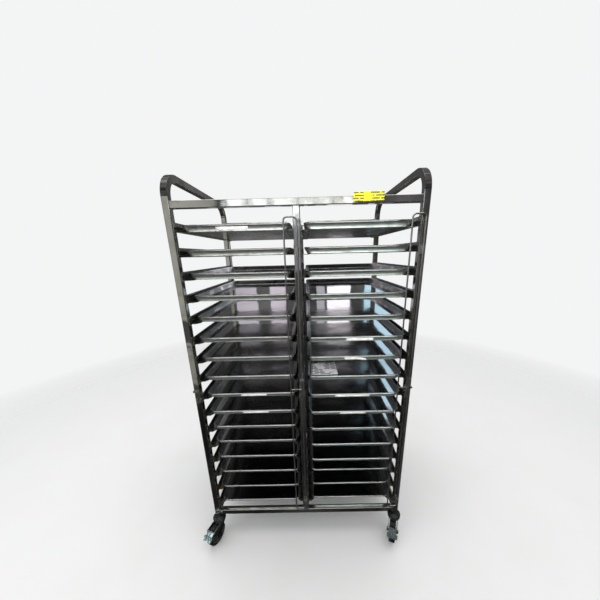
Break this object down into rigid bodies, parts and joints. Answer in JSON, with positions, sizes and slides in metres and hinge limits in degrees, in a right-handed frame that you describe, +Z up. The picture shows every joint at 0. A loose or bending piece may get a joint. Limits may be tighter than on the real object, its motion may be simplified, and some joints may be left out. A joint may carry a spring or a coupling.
{
  "type": "sheet pan rack",
  "caption": "Double-column bakery trolley of square stainless tube: side hoops, angle runners, sliding flat pans, swinging wire pan stops, swivel casters with front brakes.",
  "frame": {"origin": "on the floor, midway between the four corner posts", "axes": "+Z up, +X to the right seen from the front, +Y towards the back, where the pans slide out"},
  "size_m": [0.997, 0.7972, 1.687],
  "materials": {
    "frame_steel": "polished stainless tube, fine lengthwise grain, handling smears",
    "joint_steel": "machined",
    "runner_steel": "folded stainless sheet, brushed",
    "stop_wire": "drawn stainless wire",
    "caster_zinc": "bright zinc plate, dulled",
    "wheel_rubber": "black rubber, scuffed and dusty",
    "pedal_steel": "bright zinc plate",
    "pan_aluminium": "pressed sheet, rubbed and lightly scratched"
  },
  "bodies": {
    "frame": {"left_hoop": "frame_steel", "right_hoop": "frame_steel", "lower_posts": "frame_steel", "upper_centre_posts": "frame_steel", "joint_spigots": "joint_steel", "joint_bolts": "joint_steel", "top_bars": "frame_steel", "base_bars": "frame_steel", "left_outer_runners": "runner_steel", "left_centre_runners": "runner_steel", "right_centre_runners": "runner_steel", "right_outer_runners": "runner_steel", "stop_lugs": "stop_wire", "caster_heads": "caster_zinc"},
    "front_centre_stop": {"front_centre_stop": "stop_wire"},
    "front_right_stop": {"front_right_stop": "stop_wire"},
    "rear_centre_stop": {"rear_centre_stop": "stop_wire"},
    "rear_left_stop": {"rear_left_stop": "stop_wire"},
    "front_left_fork": {"front_left_fork": "caster_zinc"},
    "front_left_wheel": {"front_left_wheel": "wheel_rubber"},
    "front_left_pedal": {"front_left_pedal": "pedal_steel"},
    "front_right_fork": {"front_right_fork": "caster_zinc"},
    "front_right_wheel": {"front_right_wheel": "wheel_rubber"},
    "front_right_pedal": {"front_right_pedal": "pedal_steel"},
    "rear_left_fork": {"rear_left_fork": "caster_zinc"},
    "rear_left_wheel": {"rear_left_wheel": "wheel_rubber"},
    "rear_right_fork": {"rear_right_fork": "caster_zinc"},
    "rear_right_wheel": {"rear_right_wheel": "wheel_rubber"},
    "pan_left_01": {"pan_left_01": "pan_aluminium"},
    "pan_left_02": {"pan_left_02": "pan_aluminium"},
    "pan_left_03": {"pan_left_03": "pan_aluminium"},
    "pan_left_04": {"pan_left_04": "pan_aluminium"},
    "pan_left_05": {"pan_left_05": "pan_aluminium"},
    "pan_left_06": {"pan_left_06": "pan_aluminium"},
    "pan_left_07": {"pan_left_07": "pan_aluminium"},
    "pan_left_08": {"pan_left_08": "pan_aluminium"},
    "pan_left_09": {"pan_left_09": "pan_aluminium"},
    "pan_left_10": {"pan_left_10": "pan_aluminium"},
    "pan_left_11": {"pan_left_11": "pan_aluminium"},
    "pan_left_12": {"pan_left_12": "pan_aluminium"},
    "pan_left_13": {"pan_left_13": "pan_aluminium"},
    "pan_left_14": {"pan_left_14": "pan_aluminium"},
    "pan_left_15": {"pan_left_15": "pan_aluminium"},
    "pan_left_16": {"pan_left_16": "pan_aluminium"},
    "pan_right_01": {"pan_right_01": "pan_aluminium"},
    "pan_right_02": {"pan_right_02": "pan_aluminium"},
    "pan_right_03": {"pan_right_03": "pan_aluminium"},
    "pan_right_04": {"pan_right_04": "pan_aluminium"},
    "pan_right_05": {"pan_right_05": "pan_aluminium"},
    "pan_right_06": {"pan_right_06": "pan_aluminium"},
    "pan_right_07": {"pan_right_07": "pan_aluminium"},
    "pan_right_08": {"pan_right_08": "pan_aluminium"},
    "pan_right_09": {"pan_right_09": "pan_aluminium"},
    "pan_right_10": {"pan_right_10": "pan_aluminium"},
    "pan_right_11": {"pan_right_11": "pan_aluminium"},
    "pan_right_12": {"pan_right_12": "pan_aluminium"},
    "pan_right_13": {"pan_right_13": "pan_aluminium"},
    "pan_right_14": {"pan_right_14": "pan_aluminium"},
    "pan_right_15": {"pan_right_15": "pan_aluminium"},
    "pan_right_16": {"pan_right_16": "pan_aluminium"}
  },
  "joints": [
    {"name": "front_centre_stop_swing", "type": "hinge", "parent": "frame", "child": "front_centre_stop", "pos_m": [0, -0.328, 0.877], "axis": [0, 0, 1], "range_deg": [0, 180]},
    {"name": "front_right_stop_swing", "type": "hinge", "parent": "frame", "child": "front_right_stop", "pos_m": [0.4475, -0.328, 0.877], "axis": [0, 0, 1], "range_deg": [0, 180]},
    {"name": "rear_centre_stop_swing", "type": "hinge", "parent": "frame", "child": "rear_centre_stop", "pos_m": [0, 0.328, 0.877], "axis": [0, 0, 1], "range_deg": [-90, 0]},
    {"name": "rear_left_stop_swing", "type": "hinge", "parent": "frame", "child": "rear_left_stop", "pos_m": [-0.4475, 0.328, 0.877], "axis": [0, 0, 1], "range_deg": [-90, 90]},
    {"name": "front_left_swivel", "type": "hinge", "parent": "frame", "child": "front_left_fork", "pos_m": [-0.4475, -0.3075, 0.13], "axis": [0, 0, 1], "continuous": true},
    {"name": "front_left_roll", "type": "hinge", "parent": "front_left_fork", "child": "front_left_wheel", "pos_m": [-0.46061, -0.33995, 0.05], "axis": [0.9272, -0.3746, 0], "continuous": true},
    {"name": "front_left_brake", "type": "hinge", "parent": "front_left_fork", "child": "front_left_pedal", "pos_m": [-0.4711, -0.36591, 0.096], "axis": [0.9272, -0.3746, 0], "range_deg": [0, 14]},
    {"name": "front_right_swivel", "type": "hinge", "parent": "frame", "child": "front_right_fork", "pos_m": [0.4475, -0.3075, 0.13], "axis": [0, 0, 1], "continuous": true},
    {"name": "front_right_roll", "type": "hinge", "parent": "front_right_fork", "child": "front_right_wheel", "pos_m": [0.43439, -0.33995, 0.05], "axis": [0.9272, -0.3746, 0], "continuous": true},
    {"name": "front_right_brake", "type": "hinge", "parent": "front_right_fork", "child": "front_right_pedal", "pos_m": [0.4239, -0.36591, 0.096], "axis": [0.9272, -0.3746, 0], "range_deg": [0, 14]},
    {"name": "rear_left_swivel", "type": "hinge", "parent": "frame", "child": "rear_left_fork", "pos_m": [-0.4475, 0.3075, 0.13], "axis": [0, 0, 1], "continuous": true},
    {"name": "rear_left_roll", "type": "hinge", "parent": "rear_left_fork", "child": "rear_left_wheel", "pos_m": [-0.43439, 0.33995, 0.05], "axis": [-0.9272, 0.3746, 0], "continuous": true},
    {"name": "rear_right_swivel", "type": "hinge", "parent": "frame", "child": "rear_right_fork", "pos_m": [0.4475, 0.3075, 0.13], "axis": [0, 0, 1], "continuous": true},
    {"name": "rear_right_roll", "type": "hinge", "parent": "rear_right_fork", "child": "rear_right_wheel", "pos_m": [0.46061, 0.33995, 0.05], "axis": [-0.9272, 0.3746, 0], "continuous": true},
    {"name": "pan_left_01_slide", "type": "slide", "parent": "frame", "child": "pan_left_01", "axis": [0, 1, 0], "range_m": [0, 0.6]},
    {"name": "pan_left_02_slide", "type": "slide", "parent": "frame", "child": "pan_left_02", "axis": [0, 1, 0], "range_m": [0, 0.6]},
    {"name": "pan_left_03_slide", "type": "slide", "parent": "frame", "child": "pan_left_03", "axis": [0, 1, 0], "range_m": [0, 0.6]},
    {"name": "pan_left_04_slide", "type": "slide", "parent": "frame", "child": "pan_left_04", "axis": [0, 1, 0], "range_m": [0, 0.6]},
    {"name": "pan_left_05_slide", "type": "slide", "parent": "frame", "child": "pan_left_05", "axis": [0, 1, 0], "range_m": [0, 0.6]},
    {"name": "pan_left_06_slide", "type": "slide", "parent": "frame", "child": "pan_left_06", "axis": [0, 1, 0], "range_m": [0, 0.6]},
    {"name": "pan_left_07_slide", "type": "slide", "parent": "frame", "child": "pan_left_07", "axis": [0, 1, 0], "range_m": [0, 0.6]},
    {"name": "pan_left_08_slide", "type": "slide", "parent": "frame", "child": "pan_left_08", "axis": [0, 1, 0], "range_m": [0, 0.6]},
    {"name": "pan_left_09_slide", "type": "slide", "parent": "frame", "child": "pan_left_09", "axis": [0, 1, 0], "range_m": [0, 0.6]},
    {"name": "pan_left_10_slide", "type": "slide", "parent": "frame", "child": "pan_left_10", "axis": [0, 1, 0], "range_m": [0, 0.6]},
    {"name": "pan_left_11_slide", "type": "slide", "parent": "frame", "child": "pan_left_11", "axis": [0, 1, 0], "range_m": [0, 0.6]},
    {"name": "pan_left_12_slide", "type": "slide", "parent": "frame", "child": "pan_left_12", "axis": [0, 1, 0], "range_m": [0, 0.6]},
    {"name": "pan_left_13_slide", "type": "slide", "parent": "frame", "child": "pan_left_13", "axis": [0, 1, 0], "range_m": [0, 0.6]},
    {"name": "pan_left_14_slide", "type": "slide", "parent": "frame", "child": "pan_left_14", "axis": [0, 1, 0], "range_m": [0, 0.6]},
    {"name": "pan_left_15_slide", "type": "slide", "parent": "frame", "child": "pan_left_15", "axis": [0, 1, 0], "range_m": [0, 0.6]},
    {"name": "pan_left_16_slide", "type": "slide", "parent": "frame", "child": "pan_left_16", "axis": [0, 1, 0], "range_m": [0, 0.6]},
    {"name": "pan_right_01_slide", "type": "slide", "parent": "frame", "child": "pan_right_01", "axis": [0, 1, 0], "range_m": [0, 0.6]},
    {"name": "pan_right_02_slide", "type": "slide", "parent": "frame", "child": "pan_right_02", "axis": [0, 1, 0], "range_m": [0, 0.6]},
    {"name": "pan_right_03_slide", "type": "slide", "parent": "frame", "child": "pan_right_03", "axis": [0, 1, 0], "range_m": [0, 0.6]},
    {"name": "pan_right_04_slide", "type": "slide", "parent": "frame", "child": "pan_right_04", "axis": [0, 1, 0], "range_m": [0, 0.6]},
    {"name": "pan_right_05_slide", "type": "slide", "parent": "frame", "child": "pan_right_05", "axis": [0, 1, 0], "range_m": [0, 0.6]},
    {"name": "pan_right_06_slide", "type": "slide", "parent": "frame", "child": "pan_right_06", "axis": [0, 1, 0], "range_m": [0, 0.6]},
    {"name": "pan_right_07_slide", "type": "slide", "parent": "frame", "child": "pan_right_07", "axis": [0, 1, 0], "range_m": [0, 0.6]},
    {"name": "pan_right_08_slide", "type": "slide", "parent": "frame", "child": "pan_right_08", "axis": [0, 1, 0], "range_m": [0, 0.6]},
    {"name": "pan_right_09_slide", "type": "slide", "parent": "frame", "child": "pan_right_09", "axis": [0, 1, 0], "range_m": [0, 0.6]},
    {"name": "pan_right_10_slide", "type": "slide", "parent": "frame", "child": "pan_right_10", "axis": [0, 1, 0], "range_m": [0, 0.6]},
    {"name": "pan_right_11_slide", "type": "slide", "parent": "frame", "child": "pan_right_11", "axis": [0, 1, 0], "range_m": [0, 0.6]},
    {"name": "pan_right_12_slide", "type": "slide", "parent": "frame", "child": "pan_right_12", "axis": [0, 1, 0], "range_m": [0, 0.6]},
    {"name": "pan_right_13_slide", "type": "slide", "parent": "frame", "child": "pan_right_13", "axis": [0, 1, 0], "range_m": [0, 0.6]},
    {"name": "pan_right_14_slide", "type": "slide", "parent": "frame", "child": "pan_right_14", "axis": [0, 1, 0], "range_m": [0, 0.6]},
    {"name": "pan_right_15_slide", "type": "slide", "parent": "frame", "child": "pan_right_15", "axis": [0, 1, 0], "range_m": [0, 0.6]},
    {"name": "pan_right_16_slide", "type": "slide", "parent": "frame", "child": "pan_right_16", "axis": [0, 1, 0], "range_m": [0, 0.6]}
  ]
}
